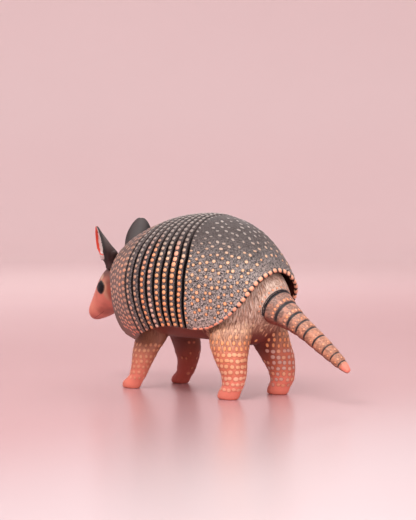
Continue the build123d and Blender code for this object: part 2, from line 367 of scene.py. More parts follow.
def link(name, data):
    """A new object in the scene, with the given mesh, light or camera."""
    made = bpy.data.objects.new(name, data)
    scene.collection.objects.link(made)
    return made


def shade(made, material):
    """Gives an object its material and smooth shading."""
    made.data.materials.append(material)
    made.data.polygons.foreach_set("use_smooth", [True] * len(made.data.polygons))


def make_object(name, vertices, faces, material, body=FIGURE):
    mesh = bpy.data.meshes.new(name)
    mesh.from_pydata([tuple(v) for v in vertices], [], faces)
    mesh.update()
    made = link(name, mesh)
    shade(made, material)
    if body:
        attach(made, body)
    return made


def quads(start, rings, sides):
    """Faces between successive closed rings of vertices, the first vertex being start."""
    faces = []
    for ring in range(rings - 1):
        a, b = start + ring * sides, start + (ring + 1) * sides
        for i in range(sides):
            j = (i + 1) % sides
            faces.append((a + i, a + j, b + j, b + i))
    return faces


def sheet(rows, columns, start=0):
    """Faces of an open grid of vertices that are numbered row after row from start."""
    firsts = [start + i * columns + j for i in range(rows - 1) for j in range(columns - 1)]
    return [(a, a + columns, a + columns + 1, a + 1) for a in firsts]


def face_outwards(made):
    mesh = bmesh.new()
    mesh.from_mesh(made.data)
    bmesh.ops.recalc_face_normals(mesh, faces=mesh.faces)
    mesh.to_mesh(made.data)
    mesh.free()


def along_line(points, wanted=None, step=None):
    """Points of a polyline at the wanted distances along it, or every step."""
    array = np.array([tuple(p) for p in points])
    lengths = np.concatenate([[0], np.cumsum(np.linalg.norm(np.diff(array, axis=0), axis=1))])
    if step is None:
        wanted = np.linspace(0, lengths[-1], wanted)
    else:
        wanted = np.arange(0, lengths[-1], step)
    return np.stack([np.interp(wanted, lengths, array[:, k]) for k in range(3)], axis=1)


def colour_vertices(made, name, colours):
    """Stores one colour per vertex under a name that the materials read."""
    layer = made.data.color_attributes.new(name, "FLOAT_COLOR", "POINT")
    flat = np.ones((len(made.data.vertices), 4), np.float32)
    flat[:, :3] = np.array(colours, np.float32).reshape(-1, 3)
    layer.data.foreach_set("color", flat.ravel())


def tree_of(made):
    """A search tree of an object's own mesh."""
    vertices = [v.co.copy() for v in made.data.vertices]
    return BVHTree.FromPolygons(vertices, [tuple(p.vertices) for p in made.data.polygons])


def copy_nodes(name, nodes):
    """One new object holding copies of CAD nodes' meshes."""
    vertices, faces = [], []
    for node in nodes:
        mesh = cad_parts[node].data
        start = len(vertices)
        vertices += [tuple(v.co) for v in mesh.vertices]
        faces += [tuple(start + i for i in p.vertices) for p in mesh.polygons]
    mesh = bpy.data.meshes.new(name)
    mesh.from_pydata(vertices, [], faces)
    return link(name, mesh)


def resurface(made, voxel, smoothing, factor):
    """Even, softly rounded quads in place of the CAD's triangles."""
    remesh = made.modifiers.new("even", "REMESH")
    remesh.mode = "VOXEL"
    remesh.voxel_size = voxel * MM
    remesh.use_smooth_shade = True
    relax = made.modifiers.new("soften", "SMOOTH")
    relax.factor = factor
    relax.iterations = smoothing
    graph = bpy.context.evaluated_depsgraph_get()
    old, made.data = made.data, bpy.data.meshes.new_from_object(made.evaluated_get(graph))
    made.modifiers.clear()
    bpy.data.meshes.remove(old)
    mesh = bmesh.new()
    mesh.from_mesh(made.data)
    for group in islands(mesh)[1:]:
        bmesh.ops.delete(mesh, geom=group, context="VERTS")
    mesh.to_mesh(made.data)
    mesh.free()


def islands(mesh):
    """The connected groups of a bmesh's vertices, largest first."""
    found, seen = [], set()
    for start in mesh.verts:
        if start in seen:
            continue
        group, queue = [], [start]
        seen.add(start)
        while queue:
            vertex = queue.pop()
            group.append(vertex)
            for edge in vertex.link_edges:
                other = edge.other_vert(vertex)
                if other not in seen:
                    seen.add(other)
                    queue.append(other)
        found.append(group)
    return sorted(found, key=len, reverse=True)


def cut_piece(source, name, keep_above):
    """The part of source above or below the saw cut, closed where it was cut."""
    mesh = bmesh.new()
    mesh.from_mesh(source.data)
    result = bmesh.ops.bisect_plane(
        mesh,
        geom=list(mesh.verts) + list(mesh.edges) + list(mesh.faces),
        plane_co=(0, 0, SAW_CUT_Z),
        plane_no=(0, 0, 1),
        clear_inner=keep_above,
        clear_outer=not keep_above,
    )
    rim = [e for e in result["geom_cut"] if isinstance(e, bmesh.types.BMEdge)]
    bmesh.ops.holes_fill(mesh, edges=[e for e in rim if e.is_boundary], sides=0)
    made = link(name, bpy.data.meshes.new(name))
    mesh.to_mesh(made.data)
    mesh.free()
    return made


class Dots:
    """Raised strokes and drops of paint, gathered into one object."""

    SIDES = 10

    def __init__(self):
        self.vertices, self.faces, self.colours = [], [], []

    def add(
        self, tree, point, along, size, height, colour, core=None, rim=None, square=2.0, outline=1.22
    ):
        """A drop at point: size is its half-length along the given direction and its half-width."""
        place, normal, _, _ = tree.find_nearest(point)
        if place is None:
            return
        along = along - normal * along.dot(normal)
        if along.length < 1e-9:
            return
        along.normalize()
        across = normal.cross(along)
        core = core or colour
        rim = rim or colour * 0.35
        rings = [
            (outline, -0.1 * MM, rim),
            (outline - 0.07, 0.03 * MM, rim),
            (1.05, 0.05 * MM, rim),
            (0.96, 0.05 * MM + height * 0.4, colour),
            (0.55, height, blend(colour, core, 0.5)),
        ]
        start = len(self.vertices)
        for reach, lift, tint in rings:
            for i in range(self.SIDES):
                angle = math.tau * i / self.SIDES
                c, s = math.cos(angle), math.sin(angle)
                bulge = (abs(c) ** square + abs(s) ** square) ** (-1 / square)
                offset = along * (c * bulge * size[0] * reach) + across * (s * bulge * size[1] * reach)
                spot = tree.find_nearest(place + offset)[0]
                self.vertices.append(spot + normal * lift)
                self.colours.append(tint)
        self.vertices.append(place + normal * height * 1.05)
        self.colours.append(core)
        self.vertices.append(place - normal * 0.1 * MM)
        self.colours.append(rim)
        n = self.SIDES
        self.faces += quads(start, len(rings), n)
        top, last = start + len(rings) * n, start + (len(rings) - 1) * n
        for i in range(n):
            j = (i + 1) % n
            self.faces.append((last + i, last + j, top))
            self.faces.append((start + j, start + i, top + 1))

    def bead(self, centre, along, across, normal, size, colour, core):
        """A rounded block of paint with the given half-lengths, seen from every side."""
        start, n = len(self.vertices), 12
        levels = (-1.0, -0.88, -0.5, 0.0, 0.5, 0.88, 1.0)
        for level in levels:
            reach = max(1 - abs(level) ** 2.6, 0.0004) ** (1 / 2.6)
            for i in range(n):
                c, s = math.cos(math.tau * i / n), math.sin(math.tau * i / n)
                bulge = (abs(c) ** 3 + abs(s) ** 3) ** (-1 / 3)
                spot = centre + along * (c * bulge * size[0] * reach) + normal * (level * size[2])
                self.vertices.append(spot + across * (s * bulge * size[1] * reach))
                self.colours.append(blend(core, colour, reach))
        self.faces += quads(start, len(levels), n)
        self.faces.append(tuple(start + i for i in reversed(range(n))))
        self.faces.append(tuple(start + (len(levels) - 1) * n + i for i in range(n)))

    def stroke(self, tree, point, along, length, width, colour):
        """A thin tapered brush stroke over the surface, from point along a direction."""
        place, normal, _, _ = tree.find_nearest(point)
        along = (along - normal * along.dot(normal)).normalized()
        across = normal.cross(along)
        start = len(self.vertices)
        for distance, fat in ((0.0, 0.15), (0.3, 1.0), (0.7, 0.8), (1.0, 0.08)):
            for shift, lift in ((-1, -0.02), (0, 0.09), (1, -0.02)):
                spot = place + along * length * distance + across * shift * fat * width
                near, facing, _, _ = tree.find_nearest(spot)
                self.vertices.append(near + facing * lift * MM)
                self.colours.append(colour)
        for k in range(3):
            for j in range(2):
                a = start + 3 * k + j
                self.faces.append((a, a + 3, a + 4, a + 1))

    def finish(self, name, material, slot, body=FIGURE):
        made = make_object(name, self.vertices, self.faces, material, body)
        colour_vertices(made, "paint", self.colours)
        return made


# ---------------------------------------------------------------- the shell


def drawn_in(height):
    """The Y towards which the grooves are drawn together at a height in mm, and by what share."""
    if height < 46:
        return LOWER_WAIST, 0.11 * min(46.0 - height, 22.0) / 14.0
    return UPPER_WAIST, 0.17 * min(max(height - 60.0, 0.0), 18.0) / 16.0


def groove_y(y, height):
    """Where a line round the shell lies at a height, given where it lies at mid height, in mm."""
    waist, share = drawn_in(height)
    return waist + (y - waist) * (1 - share)


def groove_at(y, height):
    """Depth of the carving in mm, blackness, and the zone: 1 in front of the grooves, 0 behind."""
    waist, share = drawn_in(height)
    y = waist + (y - waist) / (1 - share)
    top = smooth_step(62, 75, height)
    relief, black = 0.0, 0.0
    for groove, half in zip(GROOVES, GROOVE_HALF_WIDTHS):
        off = abs(y - groove)
        half *= 1 - 0.25 * top
        if off < 2:
            relief = max(relief, 1 - smooth_step(half * 0.35, half + 0.3, off))
            black = max(black, 1 - smooth_step(half - 0.15, half + 0.15, off))
    crown = 0.0
    for a, b in zip(GROOVES, GROOVES[1:]):
        if a < y < b:
            crown = math.sin(math.pi * (y - a) / (b - a)) ** 1.2
    zone = 1.0 if y < GROOVES[0] else 0.0 if y > GROOVES[-1] else 0.5
    return (0.75 * relief - 0.25 * crown) * (1 - 0.6 * top), black * (1 - 0.5 * top), zone


class Shell:
    """The armour as a grid: columns run round it at constant Y, rows run along it."""

    ROWS = 151
    CLEAR = 0.09  # this far from the middle, in metres, is outside the shell everywhere
    WALL, LOW_WALL, EDGE_WALL = 2.5, 1.5, 1.1  # mm, on top, low on the sides and at the rear

    def __init__(self):
        self.tree = tree_of(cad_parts["carapace"])
        low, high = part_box("carapace")
        front, rear = low.y / MM + 0.03, high.y / MM - 0.1
        spans = [
            (front, -46.0, 0.45),
            (-46.0, -42.6, 0.14),
            (-42.6, GROOVES[0] - 1.5, 0.6),
            (GROOVES[0] - 1.5, GROOVES[-1] + 1.3, 0.26),
            (GROOVES[-1] + 1.3, 33.0, 0.7),
            (33.0, rear, 0.2),
        ]
        self.ys = []
        for start, end, step in spans:
            count = max(2, round((end - start) / step))
            self.ys += [start + (end - start) * i / count for i in range(count)]
        self.ys.append(rear)
        self.points = np.zeros((len(self.ys), self.ROWS, 3))
        self.half = []
        for i, y in enumerate(self.ys):
            self.points[i] = self.column(y)
            steps = np.linalg.norm(np.diff(self.points[i], axis=0), axis=1)
            self.half.append(steps.sum() / 2)
        self.edge = [self.points[i, 0, 2] / MM for i in range(len(self.ys))]
        self.normals = self.grid_normals(self.points)

    def axis_height(self, y):
        return (46.5 - 5.0 * smooth_step(20, 40, y)) * MM

    def radius_at(self, centre, angle, before):
        """From centre to the outside in a direction, or None past the shell's edge."""
        way = Vector((math.cos(angle), 0, math.sin(angle)))
        hit, normal, _, away = self.tree.ray_cast(centre + way * self.CLEAR, -way, self.CLEAR - 2 * MM)
        if hit is None or (abs(normal.x) < 0.03 and normal.z < 0.1):
            return None
        radius = self.CLEAR - away
        if before is not None and abs(radius - before) > 1.5 * MM:
            return None
        return radius

    def column(self, y):
        """Points round the outside at y, from the left edge over the ridge to the right edge."""
        centre = Vector((0, y * MM, self.axis_height(y)))
        step = math.radians(1)
        angle, radius, arc = math.pi / 2, None, []

        def spot(turn, away):
            return centre + Vector((math.cos(turn), 0, math.sin(turn))) * away

        while angle > math.radians(-56):
            found = self.radius_at(centre, angle, radius)
            found = found or self.radius_at(centre, angle - step * 0.13, radius)
            if found is None:
                past, inside = angle, angle + step
                for _ in range(12):
                    middle = (past + inside) / 2
                    found = self.radius_at(centre, middle, radius)
                    if found is None:
                        past = middle
                    else:
                        inside, radius = middle, found
                arc.append(spot(inside, radius or 12 * MM))
                break
            radius = found
            arc.append(spot(angle, radius))
            angle -= step
        while len(arc) < 3:
            arc.append(arc[-1] + Vector((0.2, 0, -0.02)) * MM)
        left = along_line(arc, wanted=self.ROWS // 2 + 1)
        right = left[1:] * np.array([-1, 1, 1])
        return np.concatenate([left[::-1], right])

    @staticmethod
    def grid_normals(points):
        along = np.gradient(points, axis=0)
        around = np.gradient(points, axis=1)
        normals = np.cross(around, along)
        normals /= np.linalg.norm(normals, axis=2, keepdims=True) + 1e-12
        outward = points - np.array([0, 0, 0.045])
        outward[:, :, 1] = 0
        flip = np.sign((normals * outward).sum(axis=2, keepdims=True))
        return normals * np.where(flip == 0, 1, flip)

    def at(self, y, girth):
        """A point and normal on the outside: y in mm, girth in metres from the ridge, left positive."""
        i = int(np.clip(np.searchsorted(self.ys, y) - 1, 0, len(self.ys) - 2))
        t = (y - self.ys[i]) / (self.ys[i + 1] - self.ys[i])
        out = []
        for grid in (self.outer, self.normals):
            rows = []
            for k in (i, i + 1):
                place = (1 - girth / self.half[k]) / 2 * (self.ROWS - 1)
                place = float(np.clip(place, 0, self.ROWS - 1.001))
                j = int(place)
                rows.append(grid[k, j] * (1 - place + j) + grid[k, j + 1] * (place - j))
            out.append(Vector(rows[0] * (1 - t) + rows[1] * t))
        return out

    def on_band(self, y, girth):
        """The same for a line that is drawn in with the grooves low on the sides."""
        point, normal = self.at(y, girth)
        for _ in range(2):
            point, normal = self.at(groove_y(y, point.z / MM), girth)
        return point, normal

    def reach(self, y):
        """Girth from the ridge to the edge at y, in metres."""
        return float(np.interp(y, self.ys, self.half))

    def rim_line(self, start):
        """The lower and rear edge behind start, from the left side over the arch to the right side."""
        line = [Vector(self.outer[i, 0]) for i, y in enumerate(self.ys) if y > start]
        line += [Vector(p) for p in self.outer[-1, 1:]]
        last = self.ROWS - 1
        back = [Vector(self.outer[i, last]) for i, y in enumerate(self.ys) if y > start]
        return [Vector(p) for p in along_line(line + back[-2::-1], step=0.25 * MM)]

    def build(self, material):
        count = len(self.ys)
        self.outer = self.points.copy()
        inner = np.zeros_like(self.points)
        zones = np.zeros((count, self.ROWS, 3))
        edge = self.rim_line(14.0)
        near_edge = KDTree(len(edge))
        for k, point in enumerate(edge):
            near_edge.insert(point, k)
        near_edge.balance()
        for i, y in enumerate(self.ys):
            centre = np.array([0, y * MM, self.axis_height(y)])
            for j in range(self.ROWS):
                point, normal = self.points[i, j], self.normals[i, j]
                depth, black, zone = groove_at(y, point[2] / MM)
                tool = noise.noise(Vector(point / MM) * 0.16) * 0.12
                tool += noise.noise(Vector(point / MM) * 0.5) * 0.04
                self.outer[i, j] = point + normal * (tool - depth) * MM
                way = point - centre
                length = np.linalg.norm(way)
                low = smooth_step(46, 24, point[2] / MM)
                wall = self.WALL - (self.WALL - self.LOW_WALL) * low
                if y > 5:
                    inset = near_edge.find(Vector(point))[2] / MM
                    inward = smooth_step(0, 6, inset)
                    wall = min(wall, self.EDGE_WALL + (self.WALL - self.EDGE_WALL) * inward)
                inner[i, j] = point - way / length * wall * MM
                zones[i, j] = (black, 0, zone)
        outside = [Vector(p) for p in self.outer.reshape(-1, 3)]
        self.outer_tree = BVHTree.FromPolygons(outside, sheet(count, self.ROWS))
        ring = [(i, 0) for i in range(count)] + [(count - 1, j) for j in range(1, self.ROWS)]
        ring += [(i, self.ROWS - 1) for i in range(count - 2, -1, -1)]
        ring += [(0, j) for j in range(self.ROWS - 2, 0, -1)]
        vertices = list(self.outer.reshape(-1, 3)) + list(inner.reshape(-1, 3))
        colours = list(zones.reshape(-1, 3)) + [np.array((0, 1, 0))] * (count * self.ROWS)
        index = lambda i, j: i * self.ROWS + j
        offset = count * self.ROWS
        faces = [(a, d, c, b) for a, b, c, d in sheet(count, self.ROWS)]
        faces += sheet(count, self.ROWS, offset)
        middle = len(vertices)
        for i, j in ring:
            ii = min(max(i, 1), count - 2)
            jj = min(max(j, 2), self.ROWS - 3)
            past = self.outer[i, j] - self.outer[ii, jj]
            past = past / (np.linalg.norm(past) + 1e-12)
            vertices.append((self.outer[i, j] + inner[i, j]) / 2 + past * 0.3 * MM)
            colours.append(np.array((0.0, 0.8, 0.0)))
        size = len(ring)
        for k in range(size):
            m = (k + 1) % size
            a, b = index(*ring[k]), index(*ring[m])
            faces.append((a, b, middle + m, middle + k))
            faces.append((middle + k, middle + m, offset + b, offset + a))
        made = make_object("carapace_carved", vertices, faces, material)
        face_outwards(made)
        colour_vertices(made, "zones", colours)
        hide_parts("carapace")


def band_colour(tints, height, lively):
    """A bead's colour by its height in mm: salmon at the bottom, greyish tan on the ridge."""
    low, middle, high = tints
    colour = graded(SALMON, low, 23, 31, height)
    colour = graded(colour, middle, 38, 47, height)
    colour = graded(colour, high, 52, 61, height)
    colour = graded(colour, GREY_TAN * 0.85, 58, 71, height)
    return colour * (0.72 + 0.28 * lively)


def paint_bands(shell, material):
    """One row of beads on each band, each band with its own tints."""
    chance = random.Random(11)
    beads = Dots()
    for band, tints in enumerate(BAND_TINTS):
        y = (GROOVES[band] + GROOVES[band + 1]) / 2
        room = (GROOVES[band + 1] - GROOVES[band]) / 2 - 0.72
        reach = shell.reach(y) - 0.9 * MM
        count = round(2 * reach / (2.42 * MM))
        for k in range(count + 1):
            girth = -reach + 2 * reach * k / count + chance.uniform(-0.14, 0.14) * MM
            point, normal = shell.on_band(y + chance.uniform(-0.12, 0.12), girth)
            height = point.z / MM
            large = 1.0 + (0.28 if band == 6 and 50 < height < 66 else 0.0)
            length = chance.uniform(0.74, 0.88) * large
            width = min(chance.uniform(0.8, 0.95) * large, room * 0.98)
            colour = band_colour(tints, height, chance.uniform(0.35, 1))
            core = blend(colour, srgb(250, 204, 152), 0.35 * (1 - smooth_step(56, 68, height)))
            around = normal.cross(Vector((0, 1, 0)))
            size = (length * MM, width * MM)
            beads.add(
                shell.outer_tree, point, around, size, 0.28 * MM, colour, core, CHARCOAL, 2.2, 1.36
            )
    beads.finish("band_beads", material, "shell_paint")


def paint_pelvic_shield(shell, material):
    """Scattered dots behind the bands, longer and duller on top."""
    chance = random.Random(12)
    dots = Dots()
    y, row = GROOVES[-1] + 1.45, 0
    while y < 38.5:
        reach = shell.reach(y)
        step = 2.3 * MM if row == 0 else 3.3 * MM
        girth = -reach + (step * 0.5 if row % 2 else step)
        while girth < reach - 0.5 * step:
            jitter = 0.12 if row == 0 else 0.6
            spot_y = y + chance.uniform(-jitter, jitter)
            spot_girth = girth + chance.uniform(-jitter, jitter) * MM
            girth += step
            lively = chance.random()
            if spot_y > 38.6 or (row and chance.random() < 0.06):
                continue
            point = (shell.on_band if row == 0 else shell.at)(spot_y, spot_girth)[0]
            height = point.z / MM
            if height < float(np.interp(spot_y, shell.ys, shell.edge)) + 2.6:
                continue
            top = smooth_step(54, 68, height)
            radius = 0.58 if row == 0 else 0.55 + 0.27 * lively
            size = (radius * (1 + 0.25 * top) * MM, radius * (1 - 0.3 * top) * MM)
            colour = graded(SALMON, ORANGE, 24, 34, height)
            colour = graded(colour, blend(AMBER, CREAM, lively * 0.7), 38, 52, height)
            colour = graded(colour, GREY_TAN * 0.95, 56, 69, height)
            colour = colour * (0.78 + 0.22 * lively)
            core = blend(colour, srgb(252, 216, 168), 0.6 * (1 - top))
            turned = Vector((chance.uniform(-0.5, 0.5), 1, 0))
            dots.add(
                shell.outer_tree, point, turned, size, 0.16 * MM, colour, core, CHARCOAL * 1.5, 2, 1.36
            )
        y += 2.3 if row == 0 else 2.85
        row += 1
    dots.finish("pelvic_dots", material, "shell_paint")


def paint_front_shield(shell, material):
    """Rows of dull beads ahead of the bands."""
    chance = random.Random(13)
    dots = Dots()
    y, row = GROOVES[0] - 2.0, 0
    while y > -50.2:
        reach = shell.reach(y) - 0.7 * MM
        step = 2.7 * MM
        girth = -reach + (step / 2 if row % 2 else 0)
        while girth < reach:
            lively = chance.random()
            point, normal = shell.on_band(y + chance.uniform(-0.2, 0.2), girth)
            girth += step
            height = point.z / MM
            colour = graded(SALMON, DULL_TAN * 1.25, 24, 34, height)
            colour = blend(colour, ORANGE, (0.6 if row < 2 else 0.2) * lively)
            colour = blend(colour, srgb(126, 104, 94), 0.75 * smooth_step(54, 66, height))
            colour = colour * (0.85 + 0.15 * lively)
            around = normal.cross(Vector((0, 1, 0)))
            large = 0.76 if row == 0 else 0.7
            size = ((large + 0.1 * lively) * MM, (large * 1.9 + 0.1 * lively) * MM)
            dots.add(
                shell.outer_tree, point, around, size, 0.15 * MM, colour, None, srgb(84, 74, 72), 2, 1.26
            )
        y -= 3.5
        row += 1
    dots.finish("scapular_scales", material, "shell_paint")


def paint_rim(shell, material):
    """Square beads along the rear edge with black gaps between them, thinner along the sides."""
    chance = random.Random(14)
    tree = shell.outer_tree
    step = 0.25 * MM
    line = shell.rim_line(GROOVES[-1] + 0.9)
    beads, gaps = Dots(), Dots()
    total, pitch = step * (len(line) - 1), 3.0 * MM
    count = 2 * round(total / pitch / 2)

    def on_edge(position):
        i = min(max(int(position / step), 2), len(line) - 3)
        along = (line[i + 2] - line[i - 2]).normalized()
        place, normal, _, _ = tree.find_nearest(line[i])
        inward = normal.cross(along)
        return place, along, inward if inward.z > 0 else -inward

    for k in range(count):
        place, along, inward = on_edge(total * (k + 0.5) / count)
        normal = along.cross(inward)
        normal = normal if normal.z + abs(normal.x) > 0 else -normal
        arch = smooth_step(32, 44, place.z / MM)
        colour = blend(SALMON, PEACH, arch * 0.8) * chance.uniform(0.88, 1.04)
        core = blend(colour, srgb(252, 214, 166), 0.5)
        width, deep = (0.5 + 0.45 * arch) * MM, (0.44 + 0.38 * arch) * MM
        centre = place + inward * width * (1 - 0.85 * arch) - normal * 0.45 * arch * MM
        beads.bead(centre, along, inward, normal, (1.08 * MM, width, deep), colour, core)
        if arch > 0.1:
            place, along, inward = on_edge(total * (k + 1) / count)
            centre = place + inward * width * (1 - 0.8 * arch) - normal * 0.5 * arch * MM
            black = srgb(20, 18, 20)
            gaps.bead(centre, along, inward, normal, (0.5 * MM, width * 0.92, deep * 0.82), black, black)
    beads.finish("rim_beads", material, "shell_paint")
    gaps.finish("rim_gaps", material, "shell_paint")


# ---------------------------------------------------------------- torso, legs and head


def build_body(fur, leg_paint):
    names = ["leg_front_left", "leg_front_right", "leg_hind_left", "leg_hind_right"]
    rods = [n.replace("leg_", "leg_dowel_") for n in names]
    whole = copy_nodes("whole_body", ["torso"] + names + rods)
    resurface(whole, 0.6, 8, 0.6)
    torso = cut_piece(whole, "torso_carved", True)
    shade(torso, fur)
    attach(torso, FIGURE)
    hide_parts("torso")
    legs = cut_piece(whole, "legs", False)
    for name in names:
        side = 1 if "left" in name else -1
        end = 1 if "hind" in name else -1
        mesh = bmesh.new()
        mesh.from_mesh(legs.data)
        unwanted = [v for v in mesh.verts if v.co.x * side < 0 or v.co.y * end < 0]
        bmesh.ops.delete(mesh, geom=unwanted, context="VERTS")
        made = link(name + "_carved", bpy.data.meshes.new(name))
        mesh.to_mesh(made.data)
        mesh.free()
        shade(made, leg_paint)
        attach(made, FIGURE)
        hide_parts(name)
    tree = tree_of(whole)
    for spare in (whole, legs):
        mesh = spare.data
        bpy.data.objects.remove(spare)
        bpy.data.meshes.remove(mesh)
    return tree


def paint_fur(tree, material):
    """Fine tapered brush strokes over the rump and the hips."""
    chance = random.Random(31)
    strokes = Dots()
    cream, tan, brown = srgb(232, 214, 198), srgb(200, 156, 130), srgb(108, 76, 62)
    low_cream, low_brown = srgb(226, 166, 128), srgb(122, 70, 50)
    for _ in range(FUR_STROKES):
        y, z = chance.uniform(8, 39.5), chance.uniform(21.5, 52)
        side = chance.choice((1, -1))
        hit, normal, _, _ = tree.ray_cast(Vector((side * 40, y, z)) * MM, Vector((-side, 0, 0)), 0.04)
        if hit is None or normal.z > 0.9 or chance.random() > smooth_step(19, 31, z):
            continue
        height = smooth_step(27, 38, z)
        kind = chance.random()
        light = blend(low_cream, cream, height)
        dark = blend(low_brown, brown, height)
        colour = light if kind < 0.5 else tan if kind < 0.7 else dark
        colour = blend(tan, colour, chance.uniform(0.6, 1.0))
        lean = 0.12 + 0.25 * math.sin(y * 0.21 + z * 0.13) + chance.uniform(-0.15, 0.15)
        length, width = chance.uniform(1.6, 3.6) * MM, chance.uniform(0.12, 0.23) * MM
        strokes.stroke(tree, hit, Vector((0, lean, -1)), length, width, colour)
    strokes.finish("fur_strokes", material, "body_paint")


def mirrored(place, side):
    """The place as it is for the left, where side is 1, and mirrored for the right, where it is -1."""
    x, y, z = place
    return Vector((x * side, y, z))


def leg_section(table, side, z):
    """Centre and radii of a leg at a height in mm."""
    heights = [row[0] for row in table]
    x, y, rx, ry = (float(np.interp(z, heights, [row[k] for row in table])) for k in (1, 2, 3, 4))
    return mirrored((x, y, z), side) * MM, rx, ry


def paint_legs(tree, material):
    """Rows of outlined dots round each leg, thinning out above the foot."""
    chance = random.Random(23)
    for name in ("leg_front_left", "leg_front_right", "leg_hind_left", "leg_hind_right"):
        hind, side = "hind" in name, 1 if "left" in name else -1
        table = HIND_LEG if hind else FRONT_LEG
        dots = Dots()
        z, row = (4.5, 0) if hind else (5.0, 0)
        top = 31.5 if hind else 21.0
        while z < top:
            centre, rx, ry = leg_section(table, side, z)
            count = max(8, round(math.pi * (rx + ry) / (2.35 if z < 21 else 2.6)))
            for k in range(count):
                angle = math.tau * (k + 0.35 * (row % 2) + chance.uniform(-0.12, 0.12)) / count
                way = Vector((math.cos(angle) * rx, math.sin(angle) * ry, 0)).normalized()
                if z > 15 and way.x * side < -0.6 and way.y < 0.3:
                    continue
                if z > 21 and ((way.x * side < 0.1 and way.y < 0.5) or chance.random() < (z - 24) / 9):
                    continue
                level = Vector((0, 0, chance.uniform(-0.25, 0.25) * MM))
                hit, normal, _, _ = tree.ray_cast(centre + level + way * 0.022, -way, 0.03)
                if hit is None or normal.dot(way) < 0.2:
                    continue
                add_leg_dot(dots, tree, hit, normal, z, hind, side, chance)
            z += 2.45
            row += 1
        dots.finish(name.replace("leg_", "dots_"), material, "leg_paint")


def add_leg_dot(dots, tree, hit, normal, z, hind, side, chance):
    lively = chance.random()
    up = smooth_step(8, 17, z)
    if hind and side > 0:
        colour = blend(srgb(232, 166, 136), srgb(228, 152, 106), up)
        colour = blend(colour, srgb(230, 186, 158), 0.4 * lively)
        outline = blend(srgb(196, 92, 68), srgb(150, 76, 54), up)
        long_way = chance.uniform(0.86, 1.22)
    elif hind:
        colour = graded(srgb(214, 168, 158), srgb(224, 156, 122), 0.3, 0.8, lively)
        outline = srgb(150, 74, 60)
        long_way = chance.uniform(0.74, 1.0)
    elif side > 0:
        colour = blend(srgb(226, 144, 118), srgb(204, 138, 104), up)
        outline = blend(srgb(198, 110, 88), srgb(166, 100, 78), up)
        long_way = chance.uniform(0.6, 0.85)
    else:
        # painted shade: the right front leg's dots and outlines are darker, like the leg under them
        if lively < 0.45:
            return
        colour = srgb(176, 84, 58)
        outline = srgb(112, 44, 36)
        long_way = chance.uniform(0.6, 0.9)
    tall = chance.uniform(0.72, 0.9)
    low = smooth_step(8, 4, z)
    colour = blend(colour, srgb(236, 146, 124), 0.45 * low)
    outline = blend(outline, srgb(222, 118, 98), 0.6 * low)
    if z > 21:
        hip = smooth_step(24, 31, z)
        colour = blend(srgb(244, 156, 100), srgb(214, 178, 148), hip)
        outline = srgb(112, 68, 50)
        long_way, tall = chance.uniform(0.55, 0.72), chance.uniform(0.8, 0.98)
    around = Vector((0, 0, 1)).cross(normal)
    colour = colour * (0.84 + 0.16 * lively)
    core = blend(colour, srgb(252, 204, 156), 0.25)
    size = (long_way * MM, tall * MM)
    dots.add(tree, hit, around, size, 0.12 * MM, colour, core, outline, 2.3, 1.22)


EYE = (10.3, -63.1, 43.6)  # the left one, in mm
NOSTRIL = (1.7, -80.2, 31.2)
FACE = [  # painted areas of the head: centre and reach along Y and Z in mm, colour, strength
    (-73.5, 33.5, 5.0, 3.6, (226, 144, 120), 0.7),
    (-76.0, 27.0, 8.0, 3.0, (184, 84, 72), 0.7),
    (-62.0, 31.0, 10.0, 4.5, (160, 80, 64), 0.8),
    (-60.0, 43.0, 2.1, 6.0, (202, 154, 126), 0.85),
    (-56.2, 43.0, 3.2, 14.0, (158, 80, 62), 0.95),
    (-51.0, 44.0, 3.2, 16.0, (124, 72, 60), 0.85),
    (-58.0, 53.8, 13.0, 9.0, (100, 70, 65), 1.0),
    (-66.5, 48.0, 2.6, 4.2, (140, 100, 88), 0.6),
    (-63.4, 48.0, 1.8, 1.5, (200, 172, 146), 0.8),
    (-67.6, 42.0, 2.0, 5.0, (170, 104, 88), 0.5),
]


def build_head(material):
    head = copy_nodes("head_carved", ["head"])
    resurface(head, 0.42, 6, 0.5)
    shade(head, material)
    colours = []
    for vertex in head.data.vertices:
        y, z = vertex.co.y / MM, vertex.co.z / MM
        colour = srgb(220, 130, 111)
        for at_y, at_z, reach_y, reach_z, tint, strength in FACE:
            off = math.hypot((y - at_y) / reach_y, (z - at_z) / reach_z)
            off += 0.25 * noise.noise(vertex.co / MM * 0.35)
            colour = blend(colour, srgb(*tint), strength * (1 - smooth_step(0.35, 1.25, off)))
        colours.append(colour)
    colour_vertices(head, "paint", colours)
    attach(head, FIGURE)
    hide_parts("head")
    return tree_of(head)


def paint_face(tree, material):
    """Eyes, nostrils and the line of the mouth."""
    eyes, marks = Dots(), Dots()
    eyes.SIDES = 24
    black = srgb(18, 18, 21)
    for side in (1, -1):
        spot = mirrored(EYE, side) * MM
        up = Vector((0, -0.2, 1))
        size = (3.15 * MM, 3.3 * MM)
        eyes.add(tree, spot, up, size, 0.95 * MM, black, srgb(24, 24, 28), srgb(150, 112, 94), 1.7, 1.14)
        nostril = mirrored(NOSTRIL, side) * MM
        marks.add(tree, nostril, Vector((0, 0, 1)), (0.55 * MM, 0.4 * MM), 0.05 * MM, srgb(84, 30, 28))
        for k in range(9):
            start = mirrored((2.0 + 0.55 * k, -79.0 + 1.35 * k, 27.6 + 0.12 * k), side) * MM
            way = mirrored((0.42, 1, 0.1), side)
            marks.stroke(tree, start, way, 1.6 * MM, 0.16 * MM, srgb(132, 48, 42))
    eyes.finish("eyes", material, "head_paint")
    marks.finish("face_marks", material, "head_paint")


# ---------------------------------------------------------------- ears


